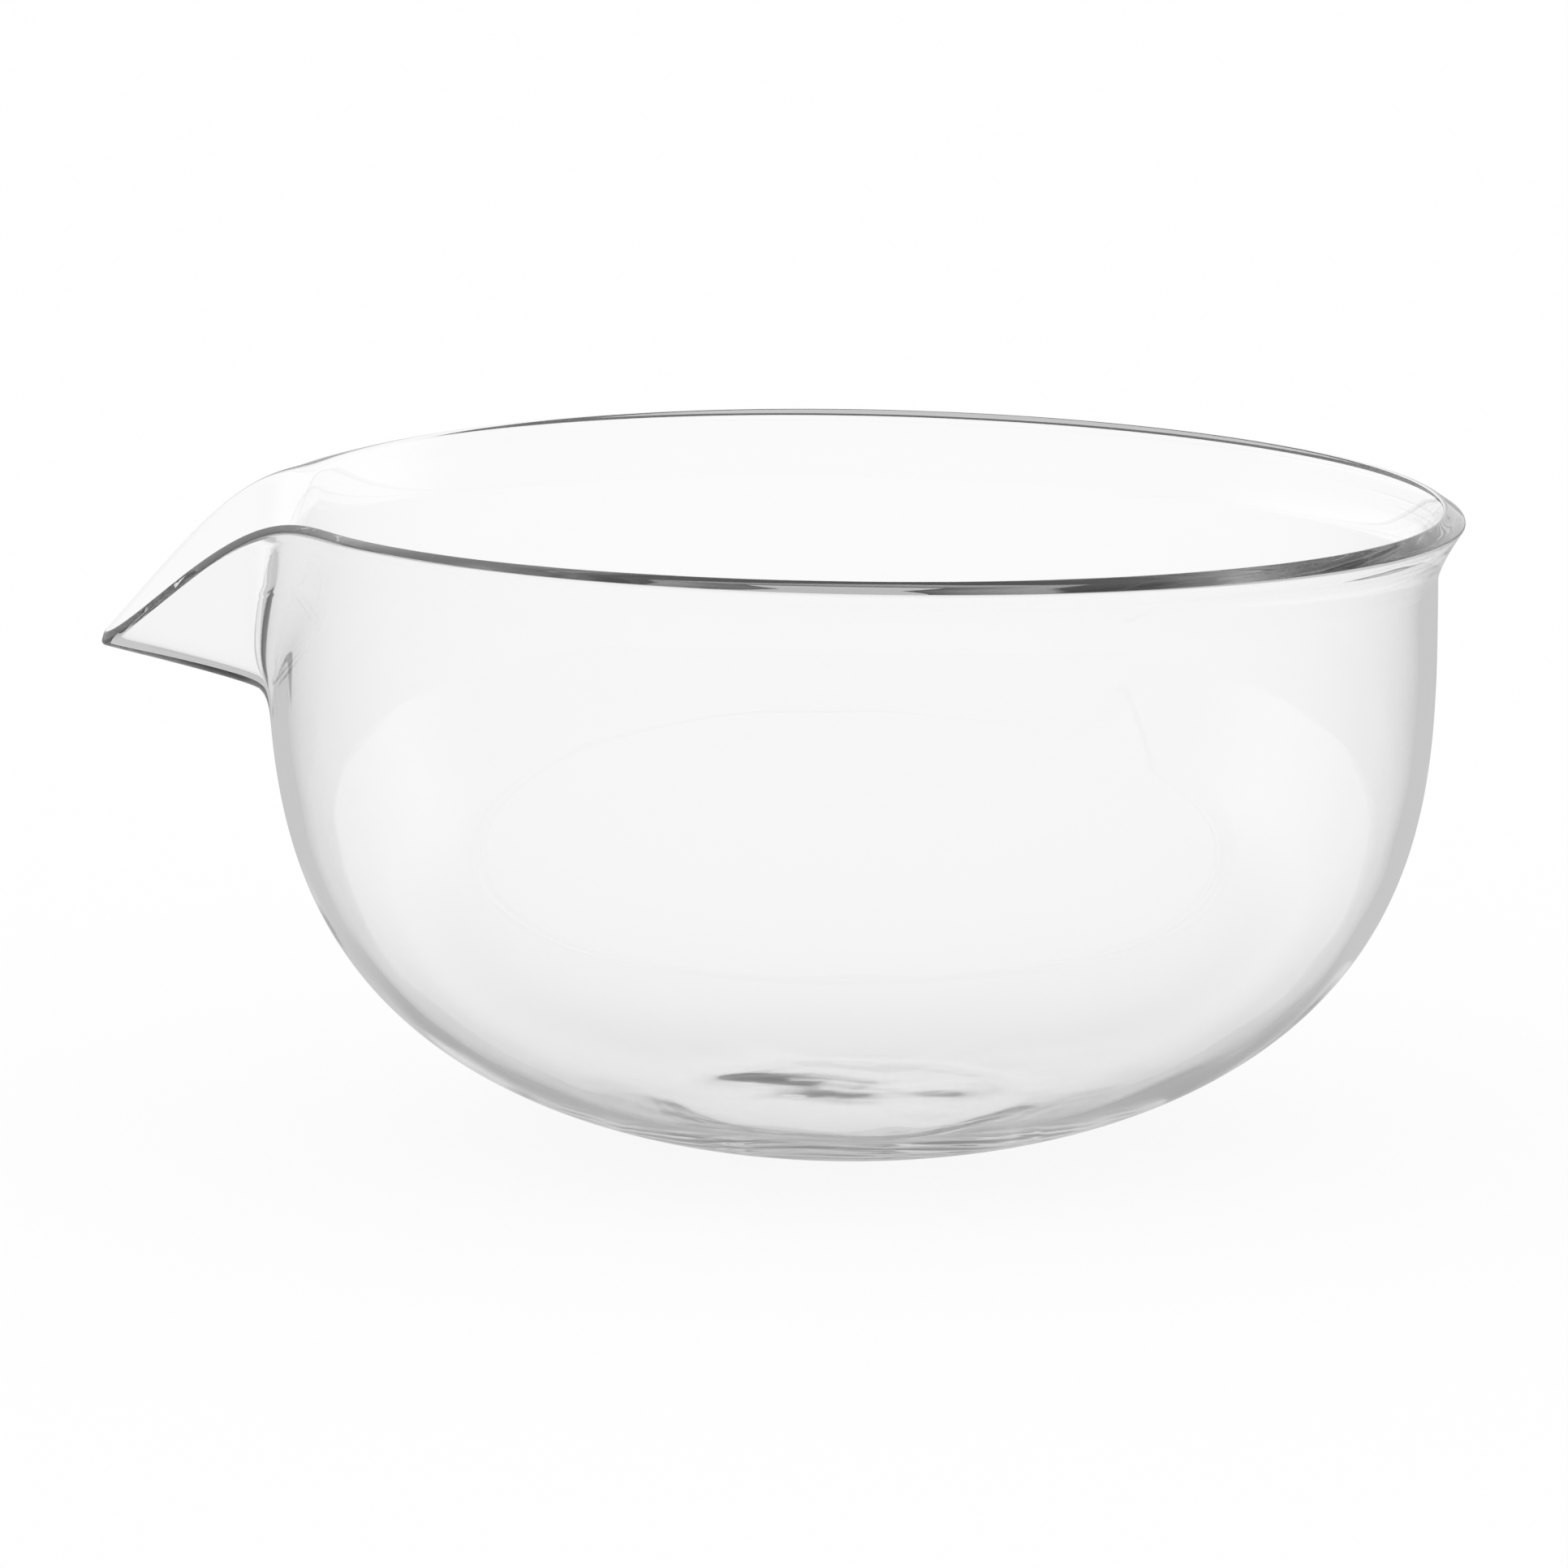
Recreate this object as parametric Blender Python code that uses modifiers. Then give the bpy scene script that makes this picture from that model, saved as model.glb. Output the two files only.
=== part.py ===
# Spouted bowl of clear glass, blown and tooled as one piece: a round body on a small flat base, a flared
# fire-polished lip, and a pointed pouring spout drawn out of the lip towards -X.
# Metres, +Z up. The origin is the centre of the flat base, on the axis of the body.

import math

import bpy

# Body
WALL_RADIUS = 0.060        # outside, at the widest
WIDEST_HEIGHT = 0.058      # where the wall stands upright, above the base
BOWL_HEIGHT = 0.0665       # base to the top of the lip
SIDE_FULLNESS = 2.15       # exponents of the curve from the upright wall to the bottom: 2 is an ellipse,
BOTTOM_FULLNESS = 3.18     # more is squarer
BASE_FLATTENING = 0.0014   # how much of the round bottom is pressed flat

# Glass
WALL_THICKNESS = 0.0017
BASE_THICKNESS = 0.0026
BASE_ZONE = 0.016          # height over which the base thins into the wall
LIP_THICKNESS = 0.0024

# Lip
LIP_FLARE = 0.0033         # how far the lip's outer edge leans out past the wall, before it is melted round
LIP_HEIGHT = 0.0052        # the height over which it leans out
LIP_ROUND = 0.47           # edge radius, as a share of the lip's thickness
LIP_CORNER = math.radians(60)  # corners sharper than this are melted round
LIP_TILT = 0.0006          # the tooled lip isn't quite level: it falls this much away from the spout
LIP_SADDLE = 0.0011        # and dips this much at the spout and across from it
EDGE_HEIGHT = BOWL_HEIGHT - LIP_THICKNESS / 2

# Spout
SPOUT_REACH = 0.0172       # tip beyond the wall
SPOUT_DROOP = 0.0129       # tip below the lip
SPOUT_DEPTH = 0.0186       # where the underside meets the wall, below the lip
SPOUT_HALF_ANGLE = math.radians(14.6)  # from the middle of the spout to the corner where it leaves the lip
SPOUT_KEEL_ROUND = math.radians(10.0)  # angle over which the two flanks round into each other
SPOUT_LIP_BLEND = 0.46     # rounding of that corner along the lip, as a share of the spout,
SPOUT_WALL_BLEND = 0.20    # and of the fold between wall and spout further down
SPOUT_BLEND_DEPTH = 0.008  # depth at which the fold has its own rounding

# Facets
LIP_STEPS = 4
LIP_ROUND_STEPS = 3
WALL_STEPS = 22
ROWS_TO_TOP = 1.25         # 1 spaces the facets evenly down the wall, more gathers them at the top
TURN_STEPS = 80
SPOUT_CROWDING = 0.65      # 0 spaces the facets evenly round the bowl, towards 1 gathers them at the spout
MERGE_DISTANCE = 0.00001

GLASS_COLOUR = (0.92, 0.93, 0.93, 1.0)
GLASS_ROUGHNESS = 0.02
GLASS_IOR = 1.473


def smooth_max(a, b, blend):
    near = max(blend - abs(a - b), 0.0) / blend
    return max(a, b) + near ** 3 * blend / 6


def body_point(turn):
    """Radius and height on the outside of the body: turn 0 is the upright wall, pi/2 the round bottom."""
    radius = WALL_RADIUS * math.cos(turn) ** (2 / SIDE_FULLNESS)
    drop = (WIDEST_HEIGHT + BASE_FLATTENING) * math.sin(turn) ** (2 / BOTTOM_FULLNESS)
    return radius, WIDEST_HEIGHT - drop


def outside_profile():
    """Radius and height down the outside of the bowl, from the edge of the lip to mid base."""
    points = [(WALL_RADIUS, EDGE_HEIGHT - LIP_HEIGHT * step / LIP_STEPS) for step in range(LIP_STEPS + 1)]
    base_turn = math.asin((WIDEST_HEIGHT / (WIDEST_HEIGHT + BASE_FLATTENING)) ** (BOTTOM_FULLNESS / 2))
    for step in range(WALL_STEPS + 1):
        points.append(body_point(base_turn * (step / WALL_STEPS) ** (ROWS_TO_TOP * BOTTOM_FULLNESS / 2)))
    points.append((0.0, 0.0))
    return points


def turned_sheet(profile):
    """The outside of the bowl before the spout is drawn, as an open sheet with its faces pointing out."""
    mesh = bpy.data.meshes.new("outside_profile")
    mesh.from_pydata([(radius, 0, height) for radius, height in profile],
                     [(i, i + 1) for i in range(len(profile) - 1)], [])
    outline = bpy.data.objects.new("outside_profile", mesh)
    bpy.context.scene.collection.objects.link(outline)
    turn = outline.modifiers.new("Turn", "SCREW")
    turn.axis = "Z"
    turn.steps = turn.render_steps = TURN_STEPS
    turn.use_merge_vertices = True
    turn.merge_threshold = MERGE_DISTANCE
    graph = bpy.context.evaluated_depsgraph_get()
    sheet = bpy.data.meshes.new_from_object(outline.evaluated_get(graph))
    bpy.data.objects.remove(outline)
    bpy.data.meshes.remove(mesh)
    return sheet


def spout_share(angle, depth):
    """How much of the spout's reach and droop a point takes, from 1 at the tip to 0 on the plain wall."""
    turned = smooth_max(angle, -angle, SPOUT_KEEL_ROUND) - SPOUT_KEEL_ROUND / 6
    near_lip = max(0.0, 1 - depth / SPOUT_BLEND_DEPTH)
    blend = SPOUT_WALL_BLEND + (SPOUT_LIP_BLEND - SPOUT_WALL_BLEND) * near_lip ** 2
    return smooth_max(0, 1 - turned / SPOUT_HALF_ANGLE - depth / SPOUT_DEPTH, blend)


def thickness_share(height):
    """Glass thickness as a share of the thickest: most at the base and the lip, least up the wall."""
    base_zone = max(0.0, 1 - height / BASE_ZONE)
    lip_zone = max(0.0, 1 - (EDGE_HEIGHT - height) / LIP_HEIGHT)
    thickness = WALL_THICKNESS
    thickness += (BASE_THICKNESS - WALL_THICKNESS) * base_zone ** 2
    thickness += (LIP_THICKNESS - WALL_THICKNESS) * lip_zone
    return thickness / BASE_THICKNESS


def draw_spout(sheet):
    """Gathers the facets towards the spout, bends the lip out, and pulls the spout out of it."""
    for vertex in sheet.vertices:
        radius = math.hypot(vertex.co.x, vertex.co.y)
        angle = math.atan2(vertex.co.y, -vertex.co.x)
        angle -= SPOUT_CROWDING * math.sin(angle)
        depth = EDGE_HEIGHT - vertex.co.z
        share = spout_share(angle, depth)
        flare = LIP_FLARE * max(0.0, 1 - depth / LIP_HEIGHT) ** 2
        radius += SPOUT_REACH * share + flare * (1 - share)
        away = -math.cos(angle)
        sag = (LIP_TILT * away + LIP_SADDLE * away ** 2) * (vertex.co.z / EDGE_HEIGHT) ** 2
        vertex.co = (radius * away, radius * math.sin(angle), vertex.co.z - SPOUT_DROOP * share - sag)


def glass_material():
    material = bpy.data.materials.new("clear_glass")
    material.use_nodes = True
    surface = material.node_tree.nodes["Principled BSDF"].inputs
    surface["Base Color"].default_value = GLASS_COLOUR
    surface["Roughness"].default_value = GLASS_ROUGHNESS
    surface["Metallic"].default_value = 0.0
    surface["IOR"].default_value = GLASS_IOR
    surface["Transmission Weight"].default_value = 1.0
    return material


for old in list(bpy.data.objects):
    bpy.data.objects.remove(old)

bowl_parts = bpy.data.collections.new("spouted_bowl")
bpy.context.scene.collection.children.link(bowl_parts)

glass_sheet = turned_sheet(outside_profile())
thickness_shares = [thickness_share(vertex.co.z) for vertex in glass_sheet.vertices]
draw_spout(glass_sheet)
glass_sheet.name = "glass_bowl"
glass_sheet.shade_smooth()
glass_sheet.materials.append(glass_material())

bowl = bpy.data.objects.new("glass_bowl", glass_sheet)
bowl_parts.objects.link(bowl)
thick = bowl.vertex_groups.new(name="thickness")
for index, share in enumerate(thickness_shares):
    thick.add([index], share, "REPLACE")

wall = bowl.modifiers.new("Wall", "SOLIDIFY")
wall.thickness = BASE_THICKNESS
wall.offset = -1
wall.use_even_offset = True
wall.vertex_group = "thickness"

lip = bowl.modifiers.new("Fire-polished lip", "BEVEL")
lip.width = LIP_ROUND * LIP_THICKNESS
lip.segments = LIP_ROUND_STEPS
lip.limit_method = "ANGLE"
lip.angle_limit = LIP_CORNER

facets = bowl.modifiers.new("Facets", "TRIANGULATE")
facets.quad_method = "SHORTEST_DIAGONAL"
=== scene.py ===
# Looks of a spouted bowl of clear blown glass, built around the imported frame.
# Metres, +Z up, spout towards -X.
import math

import bpy
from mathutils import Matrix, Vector


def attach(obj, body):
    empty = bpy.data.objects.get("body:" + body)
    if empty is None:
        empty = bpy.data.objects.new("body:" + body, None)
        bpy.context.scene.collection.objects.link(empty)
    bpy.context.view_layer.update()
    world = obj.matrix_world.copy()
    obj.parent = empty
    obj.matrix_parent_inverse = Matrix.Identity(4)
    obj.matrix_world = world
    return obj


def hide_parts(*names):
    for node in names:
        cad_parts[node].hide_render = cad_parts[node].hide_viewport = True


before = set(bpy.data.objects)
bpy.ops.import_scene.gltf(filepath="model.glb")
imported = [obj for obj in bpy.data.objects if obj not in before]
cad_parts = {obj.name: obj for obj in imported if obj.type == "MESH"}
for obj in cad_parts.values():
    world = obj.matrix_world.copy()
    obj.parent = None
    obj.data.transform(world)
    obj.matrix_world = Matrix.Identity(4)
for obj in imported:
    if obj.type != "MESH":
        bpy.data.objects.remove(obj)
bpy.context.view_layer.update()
print("frame loaded:", sorted(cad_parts))
noiseMiddle = 0.5                  # noise textures run from 0 to 1


def hexColour(code):
    # sRGB hex to the linear values that sockets take
    shares = [int(code[i:i + 2], 16) / 255 for i in (1, 3, 5)]
    return [s / 12.92 if s <= 0.04045 else ((s + 0.055) / 1.055) ** 2.4 for s in shares] + [1]


def addNode(tree, kind, inputs=(), **settings):
    # inputs go in by name or in order: a socket is linked, anything else is the value
    node = tree.nodes.new(kind)
    for name, value in settings.items():
        setattr(node, name, value)
    for name, value in inputs.items() if isinstance(inputs, dict) else enumerate(inputs):
        if isinstance(value, bpy.types.NodeSocket):
            tree.links.new(value, node.inputs[name])
        else:
            node.inputs[name].default_value = value
    return node


# The bowl: one sheet of glass, turned, flared at the lip, and drawn out into a spout
bowlSizes = {
    "Wall Radius": 0.060,
    "Widest Height": 0.058,        # where the wall stands upright
    "Side Fullness": 2.15,         # exponents of the curve down to the base, 2 is an ellipse
    "Bottom Fullness": 3.18,
    "Base Flattening": 0.0014,     # of the round bottom, pressed flat
    "Edge Height": 0.0651,         # of the lip, before it is melted round
    "Lip Height": 0.0060,
    "Lip Flare": 0.0029,
    "Lip Bend": 1.4,               # 1 leans out straight from a corner, more is a softer sweep
    "Lip Easing": 0.47,            # the lip eases off at the spout, to (1 - this) squared of its flare,
    "Easing Thinning": 0.75,       # and loses this much of the same share of its thickness
    "Easing Power": 4.0,           # more keeps the easing closer to the spout
    "Lip Tilt": 0.0012,            # the tooled lip falls this much away from the spout
    "Lip Saddle": 0.0003,          # and dips this much at the spout and across from it
    "Spout Reach": 0.0169,
    "Spout Droop": 0.0145,
    "Spout Arch": 0.42,            # 0 lets its rim fall straight to the tip, more keeps it up longer
    "Spout Depth": 0.0186,         # where the underside meets the wall, below the lip
    "Spout Half Angle": math.radians(14.6),
    "Keel Round": math.radians(10.0),
    "Lip Blend": 0.80,             # rounding where the spout leaves the lip, as a share of the spout,
    "Wall Blend": 0.24,            # and in the fold between spout and wall
    "Blend Depth": 0.018,          # as deep as this
    "Wall Thickness": 0.0017,
    "Base Thickness": 0.0023,
    "Base Zone": 0.0055,           # height over which the base thins into the wall
    "Lip Thickness": 0.0027,       # across from the spout
    "Spout Thinning": 0.15,        # drawing the spout out takes this share of its thickness at the tip
    "Ripple Size": 0.014,          # blown glass isn't even: its waves are this wide,
    "Wall Ripple": 0.0001,         # this deep in the wall,
    "Base Ripple": 0.0014,         # and this deep in the base
    "Ripple Detail": 1.0,          # finer waves in the waves
    "Ripple Seed": 7.0,
}
bowlMesh = {
    "turns": 320,
    "spoutCrowding": 0.65,         # 0 spaces the columns evenly, towards 1 gathers them at the spout
    "edgeRow": 0.00125,            # first row below the edge, which leaves room to melt it round
    "lipRows": 15,
    "wallRows": 104,
    "rowsToTop": 1.3,              # above 1 gathers the rows at the top
    "baseRows": 8,
    "mergeDistance": 0.00001,      # closes the seam and the middle of the base
    "lipCorner": math.radians(60), # corners sharper than this are melted round
    "lipRound": 0.15,              # edge radius as a share of the lip's thickness
    "lipSegments": 6,
}


def bowlTree(material):
    # u runs once round from the back of the bowl, rows run from the lip down to the middle of the base
    tree = bpy.data.node_groups.new("Spouted bowl sheet", "GeometryNodeTree")
    tree.interface.new_socket("Geometry", in_out="OUTPUT", socket_type="NodeSocketGeometry")
    for name in bowlSizes:
        tree.interface.new_socket(name, in_out="INPUT", socket_type="NodeSocketFloat")
    lipEnd = 1 + bowlMesh["lipRows"]
    wallEnd = lipEnd + bowlMesh["wallRows"]
    lastRow = wallEnd + bowlMesh["baseRows"]
    grid = addNode(tree, "GeometryNodeMeshGrid",
                   {"Size X": 1, "Size Y": 1,
                    "Vertices X": bowlMesh["turns"] + 1, "Vertices Y": lastRow + 1})
    uv = addNode(tree, "ShaderNodeSeparateXYZ", [grid.outputs["UV Map"]])
    found = {socket.name: socket for socket in addNode(tree, "NodeGroupInput").outputs}
    found["u"], found["v"] = uv.outputs["X"], uv.outputs["Y"]
    steps = [
        # how far along each stretch the row is, from 0 to 1
        ("fromTop", "SUBTRACT", 1, "v"),
        ("rowExact", "MULTIPLY", "fromTop", lastRow),
        ("row", "ROUND", "rowExact"),
        ("pastEdge", "SUBTRACT", "row", 1),
        ("lipPart", "DIVIDE", "pastEdge", bowlMesh["lipRows"]),
        ("lipShare", "MINIMUM", "lipPart", 1),
        ("pastLip", "SUBTRACT", "row", lipEnd),
        ("wallPart", "DIVIDE", "pastLip", bowlMesh["wallRows"]),
        ("wallTop", "MAXIMUM", "wallPart", 0),
        ("wallShare", "MINIMUM", "wallTop", 1),
        ("pastWall", "SUBTRACT", "row", wallEnd),
        ("basePart", "DIVIDE", "pastWall", bowlMesh["baseRows"]),
        ("baseShare", "MAXIMUM", "basePart", 0),
        # the turned profile: upright below the lip, then a superellipse down to the flat base
        ("roundHeight", "ADD", "Widest Height", "Base Flattening"),
        ("halfBottom", "DIVIDE", "Bottom Fullness", 2),
        ("flatShare", "DIVIDE", "Widest Height", "roundHeight"),
        ("flatSine", "POWER", "flatShare", "halfBottom"),
        ("baseTurn", "ARCSINE", "flatSine"),
        ("gather", "MULTIPLY", "halfBottom", bowlMesh["rowsToTop"]),
        ("gathered", "POWER", "wallShare", "gather"),
        ("turn", "MULTIPLY", "baseTurn", "gathered"),
        ("turnCosine", "COSINE", "turn"),
        ("sidePower", "DIVIDE", 2, "Side Fullness"),
        ("sideShare", "POWER", "turnCosine", "sidePower"),
        ("sideRadius", "MULTIPLY", "sideShare", "Wall Radius"),
        ("toMiddle", "SUBTRACT", 1, "baseShare"),
        ("bodyRadius", "MULTIPLY", "sideRadius", "toMiddle"),
        ("turnSine", "SINE", "turn"),
        ("bottomPower", "DIVIDE", 1, "halfBottom"),
        ("dropShare", "POWER", "turnSine", "bottomPower"),
        ("drop", "MULTIPLY", "dropShare", "roundHeight"),
        ("bodyHeight", "SUBTRACT", "Widest Height", "drop"),
        ("edgeRowHeight", "SUBTRACT", "Edge Height", bowlMesh["edgeRow"]),
        ("uprightHeight", "SUBTRACT", "edgeRowHeight", "Widest Height"),
        ("toUpright", "SUBTRACT", 1, "lipShare"),
        ("uprightPart", "MULTIPLY", "uprightHeight", "toUpright"),
        ("belowEdge", "ADD", "bodyHeight", "uprightPart"),
        ("onEdge", "LESS_THAN", "row", 0.5),
        ("edgeLift", "SUBTRACT", "Edge Height", "belowEdge"),
        ("height", "MULTIPLY_ADD", "onEdge", "edgeLift", "belowEdge"),
        ("depth", "SUBTRACT", "Edge Height", "height"),
        # angle from the spout, with the columns gathered there
        ("uTurn", "SUBTRACT", 0.5, "u"),
        ("evenAngle", "MULTIPLY", "uTurn", 2 * math.pi),
        ("evenSine", "SINE", "evenAngle"),
        ("angle", "MULTIPLY_ADD", "evenSine", -bowlMesh["spoutCrowding"], "evenAngle"),
        ("minusAngle", "MULTIPLY", "angle", -1),
        ("angleCosine", "COSINE", "angle"),
        ("angleSine", "SINE", "angle"),
        ("away", "MULTIPLY", "angleCosine", -1),
        ("halfAway", "DIVIDE", "away", 2),
        # how much of the spout's reach and droop a point takes, from 1 at the tip to 0 on the plain wall
        # (a smooth maximum lifts the keel by a sixth of its rounding, which comes off again)
        ("keelTurn", "SMOOTH_MAX", "angle", "minusAngle", "Keel Round"),
        ("keelSixth", "DIVIDE", "Keel Round", 6),
        ("turned", "SUBTRACT", "keelTurn", "keelSixth"),
        ("turnedShare", "DIVIDE", "turned", "Spout Half Angle"),
        ("depthShare", "DIVIDE", "depth", "Spout Depth"),
        ("offTip", "ADD", "turnedShare", "depthShare"),
        ("sharpShare", "SUBTRACT", 1, "offTip"),
        ("blendPart", "DIVIDE", "depth", "Blend Depth"),
        ("blendSquare", "POWER", "blendPart", 2),
        ("blendLeft", "SUBTRACT", 1, "blendSquare"),
        ("nearLip", "MAXIMUM", "blendLeft", 0),
        ("blendGain", "SUBTRACT", "Lip Blend", "Wall Blend"),
        ("blend", "MULTIPLY_ADD", "blendGain", "nearLip", "Wall Blend"),
        ("share", "SMOOTH_MAX", "sharpShare", 0, "blend"),
        # flare, least at the spout, then reach, droop and the lip's tilt
        ("flarePart", "DIVIDE", "depth", "Lip Height"),
        ("flareLeft", "SUBTRACT", 1, "flarePart"),
        ("lipZone", "MAXIMUM", "flareLeft", 0),
        ("lean", "POWER", "lipZone", "Lip Bend"),
        ("fromBack", "SUBTRACT", 0.5, "halfAway"),
        ("spoutSide", "POWER", "fromBack", "Easing Power"),
        ("easing", "MULTIPLY", "spoutSide", "Lip Easing"),
        ("lipFull", "SUBTRACT", 1, "easing"),
        ("lipFullSquare", "POWER", "lipFull", 2),
        ("flareHere", "MULTIPLY", "Lip Flare", "lipFullSquare"),
        ("flareFull", "MULTIPLY", "lean", "flareHere"),
        ("offSpout", "SUBTRACT", 1, "share"),
        ("flaredRadius", "MULTIPLY_ADD", "flareFull", "offSpout", "bodyRadius"),
        ("radius", "MULTIPLY_ADD", "Spout Reach", "share", "flaredRadius"),
        ("awaySquare", "POWER", "away", 2),
        ("saddle", "MULTIPLY", "awaySquare", "Lip Saddle"),
        ("tilt", "MULTIPLY_ADD", "away", "Lip Tilt", "saddle"),
        ("heightShare", "DIVIDE", "height", "Edge Height"),
        ("heightSquare", "POWER", "heightShare", 2),
        ("sag", "MULTIPLY", "tilt", "heightSquare"),
        ("lipZoneSquare", "POWER", "lipZone", 2),
        ("archPower", "MULTIPLY_ADD", "turnedShare", "Spout Arch", 1),
        ("arched", "POWER", "share", "archPower"),
        ("drooped", "MULTIPLY", "Spout Droop", "arched"),
        ("lowered", "ADD", "drooped", "sag"),
        ("x", "MULTIPLY", "radius", "away"),
        ("y", "MULTIPLY", "radius", "angleSine"),
        ("z", "SUBTRACT", "height", "lowered"),
        # the glass is thickest at the base and the lip
        ("basePartHeight", "DIVIDE", "height", "Base Zone"),
        ("baseLeft", "SUBTRACT", 1, "basePartHeight"),
        ("baseZone", "MAXIMUM", "baseLeft", 0),
        ("baseZoneSquare", "POWER", "baseZone", 2),
        ("baseGain", "SUBTRACT", "Base Thickness", "Wall Thickness"),
        ("bodyThick", "MULTIPLY_ADD", "baseGain", "baseZoneSquare", "Wall Thickness"),
        ("lipThinned", "MULTIPLY", "easing", "Easing Thinning"),
        ("lipLeft", "SUBTRACT", 1, "lipThinned"),
        ("lipThick", "MULTIPLY", "Lip Thickness", "lipLeft"),
        ("lipGain", "SUBTRACT", "lipThick", "Wall Thickness"),
        ("plainThick", "MULTIPLY_ADD", "lipGain", "lipZoneSquare", "bodyThick"),
        ("thinning", "MULTIPLY", "share", "Spout Thinning"),
        ("thinLeft", "SUBTRACT", 1, "thinning"),
        ("thick", "MULTIPLY", "plainThick", "thinLeft"),
        ("rippleGain", "SUBTRACT", "Base Ripple", "Wall Ripple"),
        ("ripple", "MULTIPLY_ADD", "rippleGain", "baseZoneSquare", "Wall Ripple"),
        ("ripplesPerMetre", "DIVIDE", 1, "Ripple Size"),
    ]
    for name, operation, *inputs in steps:
        values = [found.get(i, i) for i in inputs]
        found[name] = addNode(tree, "ShaderNodeMath", values, operation=operation, label=name).outputs[0]
    place = addNode(tree, "ShaderNodeCombineXYZ", [found["x"], found["y"], found["z"]])
    waves = addNode(tree, "ShaderNodeTexNoise", noise_dimensions="4D",
                    inputs={"Vector": place.outputs[0], "W": found["Ripple Seed"],
                            "Scale": found["ripplesPerMetre"], "Detail": found["Ripple Detail"]})
    wave = addNode(tree, "ShaderNodeMath", [waves.outputs["Fac"], noiseMiddle], operation="SUBTRACT")
    rippled = addNode(tree, "ShaderNodeMath", [wave.outputs[0], found["ripple"], found["thick"]],
                      operation="MULTIPLY_ADD")
    kept = addNode(tree, "GeometryNodeStoreNamedAttribute", data_type="FLOAT", domain="POINT",
                   inputs={"Geometry": grid.outputs["Mesh"], "Name": "thickness",
                           "Value": rippled.outputs[0]})
    moved = addNode(tree, "GeometryNodeSetPosition",
                    {"Geometry": kept.outputs[0], "Position": place.outputs[0]})
    closed = addNode(tree, "GeometryNodeMergeByDistance",
                     {"Geometry": moved.outputs[0], "Distance": bowlMesh["mergeDistance"]})
    realized = addNode(tree, "GeometryNodeRealizeInstances", {"Geometry": closed.outputs[0]})
    dressed = addNode(tree, "GeometryNodeSetMaterial",
                      {"Geometry": realized.outputs[0], "Material": material})
    addNode(tree, "NodeGroupOutput", {"Geometry": dressed.outputs[0]})
    return tree


def bakedTree(name, tree, sizes):
    # runs the tree on an empty object and keeps the result as a plain mesh
    holder = bpy.data.objects.new(name, bpy.data.meshes.new(name))
    bpy.context.scene.collection.objects.link(holder)
    nodes = holder.modifiers.new(name, "NODES")
    nodes.node_group = tree
    for socket in tree.interface.items_tree:
        if socket.in_out == "INPUT":
            nodes[socket.identifier] = sizes[socket.name]
    graph = bpy.context.evaluated_depsgraph_get()
    shape = bpy.data.meshes.new_from_object(holder.evaluated_get(graph))
    holder.modifiers.remove(nodes)
    holder.data = shape
    return holder


glassLook = {
    "tint": "#FFFFFF",
    "ior": 1.473,                  # borosilicate
    "baseRoughness": 0.04,         # the base was set down hot and lost some of its polish,
    "baseHeight": 0.009,           # up to here,
    "smearSize": 0.005,            # in smears of this size
    "smearDetail": 2,              # with finer ones in them
    "greyPerMetre": 1.5,           # what a metre of the glass takes off
    "greyTint": "#000000",
}


def borosilicateGlass():
    # blown and fire polished: clear through the wall, grey only where the eye looks along the glass
    material = bpy.data.materials.new("borosilicate glass, blown")
    material.use_nodes = True
    tree = material.node_tree
    surface = tree.nodes["Principled BSDF"]
    surface.inputs["Base Color"].default_value = hexColour(glassLook["tint"])
    surface.inputs["IOR"].default_value = glassLook["ior"]
    surface.inputs["Transmission Weight"].default_value = 1
    spot = addNode(tree, "ShaderNodeTexCoord")
    axes = addNode(tree, "ShaderNodeSeparateXYZ", [spot.outputs["Object"]])
    low = addNode(tree, "ShaderNodeMapRange", interpolation_type="SMOOTHSTEP",
                  inputs={"Value": axes.outputs["Z"], "From Min": glassLook["baseHeight"], "From Max": 0})
    smears = addNode(tree, "ShaderNodeTexNoise",
                     {"Vector": spot.outputs["Object"], "Scale": 1 / glassLook["smearSize"],
                      "Detail": glassLook["smearDetail"]})
    smeared = addNode(tree, "ShaderNodeMath", [low.outputs[0], smears.outputs["Fac"]], operation="MULTIPLY")
    rough = addNode(tree, "ShaderNodeMath", operation="MULTIPLY",
                    inputs=[smeared.outputs[0], glassLook["baseRoughness"] / noiseMiddle])
    tree.links.new(rough.outputs[0], surface.inputs["Roughness"])
    grey = addNode(tree, "ShaderNodeVolumeAbsorption",
                   {"Color": hexColour(glassLook["greyTint"]), "Density": glassLook["greyPerMetre"]})
    tree.links.new(grey.outputs["Volume"], tree.nodes["Material Output"].inputs["Volume"])
    return material


bowl = bakedTree("bowl_glass", bowlTree(borosilicateGlass()), bowlSizes)
bowl.data.shade_smooth()
print("bowl sheet:", len(bowl.data.vertices), "points")

thicknesses = [kept.value for kept in bowl.data.attributes["thickness"].data]
thickest = max(thicknesses)
thick = bowl.vertex_groups.new(name="thickness")
for point, thickness in enumerate(thicknesses):
    thick.add([point], thickness / thickest, "REPLACE")
wall = bowl.modifiers.new("Wall", "SOLIDIFY")
wall.thickness = thickest
wall.offset = -1
wall.vertex_group = "thickness"
lip = bowl.modifiers.new("Fire-polished lip", "BEVEL")
lip.width = bowlMesh["lipRound"] * bowlSizes["Lip Thickness"]
lip.segments = bowlMesh["lipSegments"]
lip.limit_method = "ANGLE"
lip.angle_limit = bowlMesh["lipCorner"]
lip.use_clamp_overlap = False

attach(bowl, "root")
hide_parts("glass_bowl")

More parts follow.
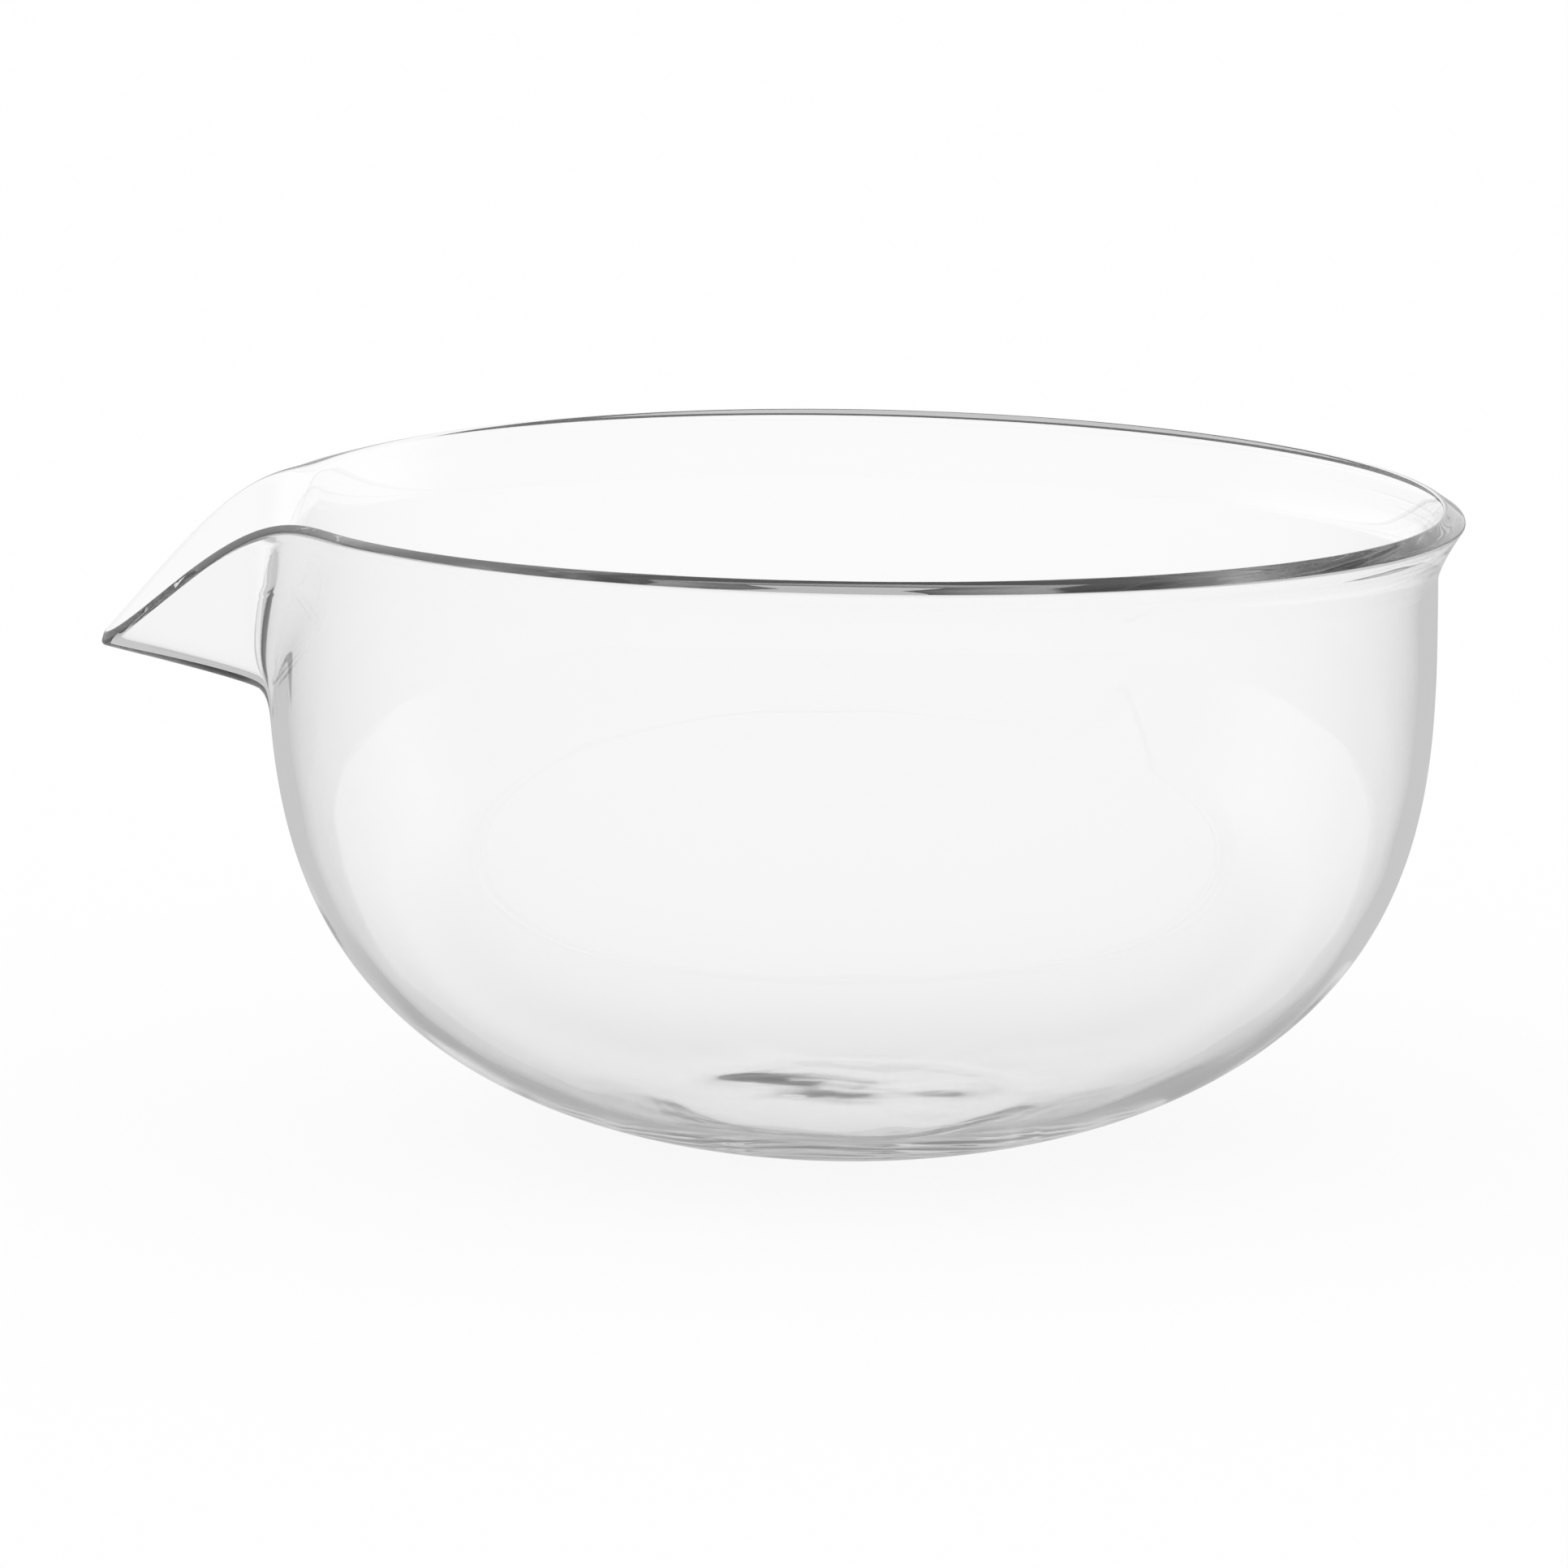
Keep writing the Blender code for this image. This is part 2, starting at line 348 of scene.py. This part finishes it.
# Floor and studio
studio = {
    "floorSize": 40.0,
    "floorDrop": 0.00002,          # keeps the floor clear of the underside
    "floorShaded": 0.10,           # share of its white that takes real shading, and so the bowl's shadow
    "white": "#FFFFFF",
    "mirroredFloor": 0.58,         # how bright the glass mirrors the floor,
    "mirroredPaintedShadow": 0.02,         # and the painted shadow under the bowl, where the floor's glow and colour are turned down to this,
    "paintedShadowReach": (0.05, 0.09),     # which ends between these distances from the middle
    "deepInside": 2,               # and is that dull in light the glass has mirrored this often inside it
    "room": 0.5,                   # what lies in front of the bowl and overhead,
    "roomInside": 0.18,            # the same in light that runs inside the glass,
    "backdrop": 1.0,               # and what lies behind it
    # the backdrop fades out between these heights over the horizon,
    "backdropTop": (math.radians(15), math.radians(35)),
    "backdropSide": (-0.2, 0.3),   # and in between these, where 1 is straight behind, -1 straight in front
    "bounces": 128,                # light runs far along the inside of the wall before it leaves it
}


def floorMaterial():
    # white to the eye and through the glass, duller where the glass mirrors it, and with a painted shadow
    # under the bowl in light the glass has mirrored inside it
    material = bpy.data.materials.new("white studio floor")
    material.use_nodes = True
    tree = material.node_tree
    tree.nodes.remove(tree.nodes["Principled BSDF"])
    ray = addNode(tree, "ShaderNodeLightPath")
    mirrored = addNode(tree, "ShaderNodeMath", [ray.outputs["Glossy Depth"], 1], operation="MINIMUM")
    spot = addNode(tree, "ShaderNodeNewGeometry")
    reach = addNode(tree, "ShaderNodeVectorMath", [spot.outputs["Position"]], operation="LENGTH")
    # painted shadow: a disc round the bowl where the floor's glow and colour are turned down, in light
    # mirrored inside the glass
    under = addNode(tree, "ShaderNodeMapRange", interpolation_type="SMOOTHSTEP",
                    inputs={"Value": reach.outputs["Value"], "From Min": studio["paintedShadowReach"][1],
                            "From Max": studio["paintedShadowReach"][0]})
    deep = addNode(tree, "ShaderNodeMapRange",
                   {"Value": ray.outputs["Glossy Depth"], "From Min": 1, "From Max": studio["deepInside"]})
    paintedShadowShare = addNode(tree, "ShaderNodeMath", [under.outputs[0], deep.outputs[0]], operation="MULTIPLY")
    dull = addNode(tree, "ShaderNodeMix", data_type="FLOAT",
                   inputs={"Factor": paintedShadowShare.outputs[0], "A": studio["mirroredFloor"],
                           "B": studio["mirroredPaintedShadow"]})
    strength = addNode(tree, "ShaderNodeMix", data_type="FLOAT",
                       inputs={"Factor": mirrored.outputs[0], "A": 1, "B": dull.outputs[0]})
    white = addNode(tree, "ShaderNodeEmission", [hexColour(studio["white"]), strength.outputs[0]])
    shaded = addNode(tree, "ShaderNodeBsdfDiffuse", [strength.outputs[0]])
    mixed = addNode(tree, "ShaderNodeMixShader",
                    [studio["floorShaded"], white.outputs[0], shaded.outputs[0]])
    tree.links.new(mixed.outputs[0], tree.nodes["Material Output"].inputs["Surface"])
    return material


def studioWorld():
    # plain white light on the floor; the glass sees a white backdrop behind it and a duller room
    world = bpy.data.worlds.new("white studio")
    world.use_nodes = True
    tree = world.node_tree
    direction = addNode(tree, "ShaderNodeTexCoord")
    axes = addNode(tree, "ShaderNodeSeparateXYZ", [direction.outputs["Generated"]])
    low = addNode(tree, "ShaderNodeMapRange", interpolation_type="SMOOTHSTEP",
                  inputs={"Value": axes.outputs["Z"], "From Min": math.sin(studio["backdropTop"][1]),
                          "From Max": math.sin(studio["backdropTop"][0])})
    behind = addNode(tree, "ShaderNodeMapRange", interpolation_type="SMOOTHSTEP",
                     inputs={"Value": axes.outputs["Y"], "From Min": studio["backdropSide"][0],
                             "From Max": studio["backdropSide"][1]})
    onBackdrop = addNode(tree, "ShaderNodeMath", [low.outputs[0], behind.outputs[0]], operation="MULTIPLY")
    ray = addNode(tree, "ShaderNodeLightPath")
    # half below, so that the depth itself counts
    inside = addNode(tree, "ShaderNodeMath", operation="GREATER_THAN",
                     inputs=[ray.outputs["Glossy Depth"], studio["deepInside"] - 0.5])
    room = addNode(tree, "ShaderNodeMix", data_type="FLOAT",
                   inputs={"Factor": inside.outputs[0], "A": studio["room"], "B": studio["roomInside"]})
    seen = addNode(tree, "ShaderNodeMix", data_type="FLOAT",
                   inputs={"Factor": onBackdrop.outputs[0], "A": room.outputs[0], "B": studio["backdrop"]})
    plain = addNode(tree, "ShaderNodeMath", operation="MAXIMUM",
                    inputs=[ray.outputs["Is Camera Ray"], ray.outputs["Is Diffuse Ray"]])
    strength = addNode(tree, "ShaderNodeMix", data_type="FLOAT",
                       inputs={"Factor": plain.outputs[0], "A": seen.outputs[0], "B": 1})
    sky = tree.nodes["Background"]
    sky.inputs["Color"].default_value = hexColour(studio["white"])
    tree.links.new(strength.outputs[0], sky.inputs["Strength"])
    return world


bpy.ops.mesh.primitive_plane_add(size=studio["floorSize"])
floor = bpy.context.object
floor.name = "studio_floor"
floor.location.z = -studio["floorDrop"]
floor.data.materials.append(floorMaterial())
bpy.context.scene.world = studioWorld()
for kind in ("max_bounces", "glossy_bounces", "transmission_bounces"):
    setattr(bpy.context.scene.cycles, kind, studio["bounces"])
print("studio: floor and backdrop")

# Camera
photo = {
    "side": 1932,                            # pixels
    "focal": 14444,                          # pixels
    "sensor": 36,                            # millimetres
    "seesTo": 100,
    "distance": 1.2,
    "elevation": math.radians(8.41),
    "turned": math.radians(5),               # the spout points this much towards the camera
    "lookAt": Vector((0, 0, 0.0665)),        # what the distance is measured to
    "frameRight": -0.00692,                  # the picture's centre from there
    "frameUp": -0.0302,
}
back = Vector((-math.sin(photo["turned"]) * math.cos(photo["elevation"]),
               -math.cos(photo["turned"]) * math.cos(photo["elevation"]), math.sin(photo["elevation"])))
right = Vector((0, 0, 1)).cross(back).normalized()
up = back.cross(right)
camera = bpy.data.objects.new("camera", bpy.data.cameras.new("camera"))
bpy.context.scene.collection.objects.link(camera)
camera.location = photo["lookAt"] + back * photo["distance"]
aim = photo["lookAt"] + right * photo["frameRight"] + up * photo["frameUp"]
camera.rotation_euler = (aim - camera.location).to_track_quat("-Z", "Y").to_euler()
camera.data.sensor_width = photo["sensor"]
camera.data.lens = photo["sensor"] * photo["focal"] / photo["side"]
camera.data.clip_end = photo["seesTo"]
bpy.context.scene.camera = camera
bpy.context.scene.view_settings.view_transform = "Standard"
